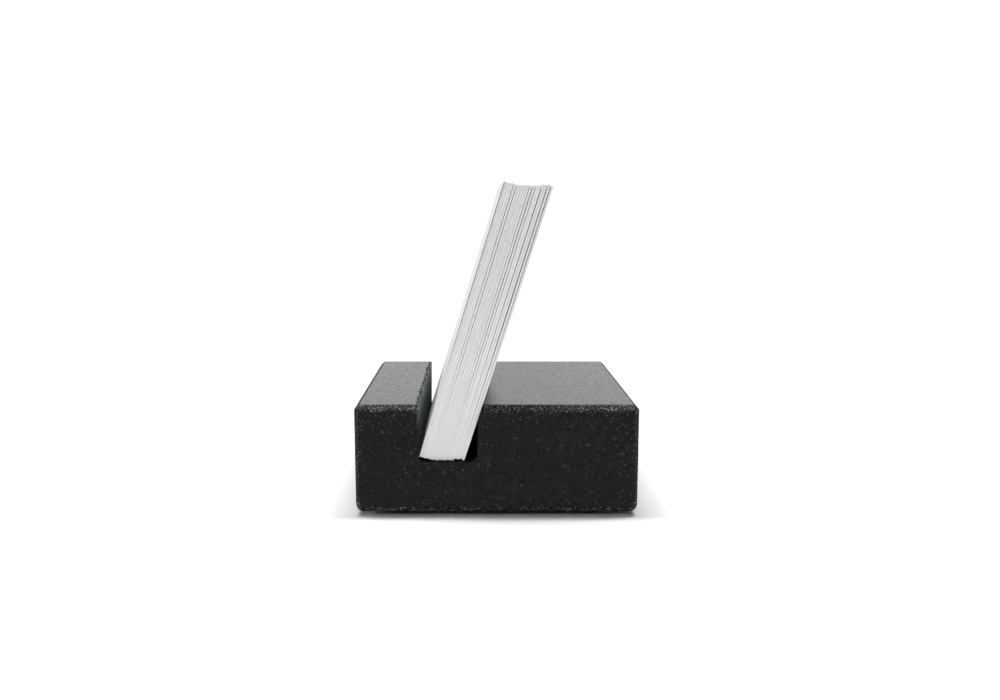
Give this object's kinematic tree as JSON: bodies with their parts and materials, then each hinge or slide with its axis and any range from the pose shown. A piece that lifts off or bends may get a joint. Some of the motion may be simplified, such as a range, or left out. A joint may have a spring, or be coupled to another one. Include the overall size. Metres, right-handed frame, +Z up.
{
  "type": "card holder",
  "caption": "Desk holder for business cards: a stone block on thin pads, with a straight slot that holds a pack of cards, which stands on edge and lies back on a sloping rest.",
  "frame": {"origin": "on the desk, under the middle of the stone block", "axes": "+X across the slot from the thin front lip to the wide rear body, +Y along the slot from the near end to the far end, +Z up"},
  "size_m": [0.0504, 0.092, 0.0591],
  "materials": {
    "granite": "honed dark granite, rougher along its bevelled edges",
    "pad": "matte black self-adhesive pad",
    "board": "plain uncoated white board with guillotined edges"
  },
  "bodies": {
    "block": {"granite_block": "granite", "pad_front_left": "pad", "pad_front_right": "pad", "pad_back_left": "pad", "pad_back_right": "pad"},
    "card_18": {"card_18": "board"},
    "card_01": {"card_01": "board"},
    "card_02": {"card_02": "board"},
    "card_03": {"card_03": "board"},
    "card_04": {"card_04": "board"},
    "card_05": {"card_05": "board"},
    "card_06": {"card_06": "board"},
    "card_07": {"card_07": "board"},
    "card_08": {"card_08": "board"},
    "card_09": {"card_09": "board"},
    "card_10": {"card_10": "board"},
    "card_11": {"card_11": "board"},
    "card_12": {"card_12": "board"},
    "card_13": {"card_13": "board"},
    "card_14": {"card_14": "board"},
    "card_15": {"card_15": "board"},
    "card_16": {"card_16": "board"},
    "card_17": {"card_17": "board"}
  },
  "joints": [
    {"name": "pack_tilt", "type": "hinge", "parent": "block", "child": "card_18", "pos_m": [-0.0137, 0, 0.01057], "axis": [0, -1, 0], "range_deg": [0, 17]},
    {"name": "card_01_lift", "type": "slide", "parent": "card_18", "child": "card_01", "axis": [0.2949, 0, 0.9555], "range_m": [0, 0.055]},
    {"name": "card_02_lift", "type": "slide", "parent": "card_18", "child": "card_02", "axis": [0.2949, 0, 0.9555], "range_m": [0, 0.055]},
    {"name": "card_03_lift", "type": "slide", "parent": "card_18", "child": "card_03", "axis": [0.2949, 0, 0.9555], "range_m": [0, 0.055]},
    {"name": "card_04_lift", "type": "slide", "parent": "card_18", "child": "card_04", "axis": [0.2949, 0, 0.9555], "range_m": [0, 0.055]},
    {"name": "card_05_lift", "type": "slide", "parent": "card_18", "child": "card_05", "axis": [0.2962, 0, 0.9551], "range_m": [0, 0.055]},
    {"name": "card_06_lift", "type": "slide", "parent": "card_18", "child": "card_06", "axis": [0.2985, 0, 0.9544], "range_m": [0, 0.055]},
    {"name": "card_07_lift", "type": "slide", "parent": "card_18", "child": "card_07", "axis": [0.2985, 0, 0.9544], "range_m": [0, 0.055]},
    {"name": "card_08_lift", "type": "slide", "parent": "card_18", "child": "card_08", "axis": [0.2985, 0, 0.9544], "range_m": [0, 0.055]},
    {"name": "card_09_lift", "type": "slide", "parent": "card_18", "child": "card_09", "axis": [0.2985, 0, 0.9544], "range_m": [0, 0.055]},
    {"name": "card_10_lift", "type": "slide", "parent": "card_18", "child": "card_10", "axis": [0.2985, 0, 0.9544], "range_m": [0, 0.055]},
    {"name": "card_11_lift", "type": "slide", "parent": "card_18", "child": "card_11", "axis": [0.2999, 0, 0.954], "range_m": [0, 0.055]},
    {"name": "card_12_lift", "type": "slide", "parent": "card_18", "child": "card_12", "axis": [0.3025, 0, 0.9531], "range_m": [0, 0.055]},
    {"name": "card_13_lift", "type": "slide", "parent": "card_18", "child": "card_13", "axis": [0.3039, 0, 0.9527], "range_m": [0, 0.055]},
    {"name": "card_14_lift", "type": "slide", "parent": "card_18", "child": "card_14", "axis": [0.3039, 0, 0.9527], "range_m": [0, 0.055]},
    {"name": "card_15_lift", "type": "slide", "parent": "card_18", "child": "card_15", "axis": [0.3062, 0, 0.952], "range_m": [0, 0.055]},
    {"name": "card_16_lift", "type": "slide", "parent": "card_18", "child": "card_16", "axis": [0.3062, 0, 0.952], "range_m": [0, 0.055]},
    {"name": "card_17_lift", "type": "slide", "parent": "card_18", "child": "card_17", "axis": [0.3103, 0, 0.9506], "range_m": [0, 0.055]}
  ]
}
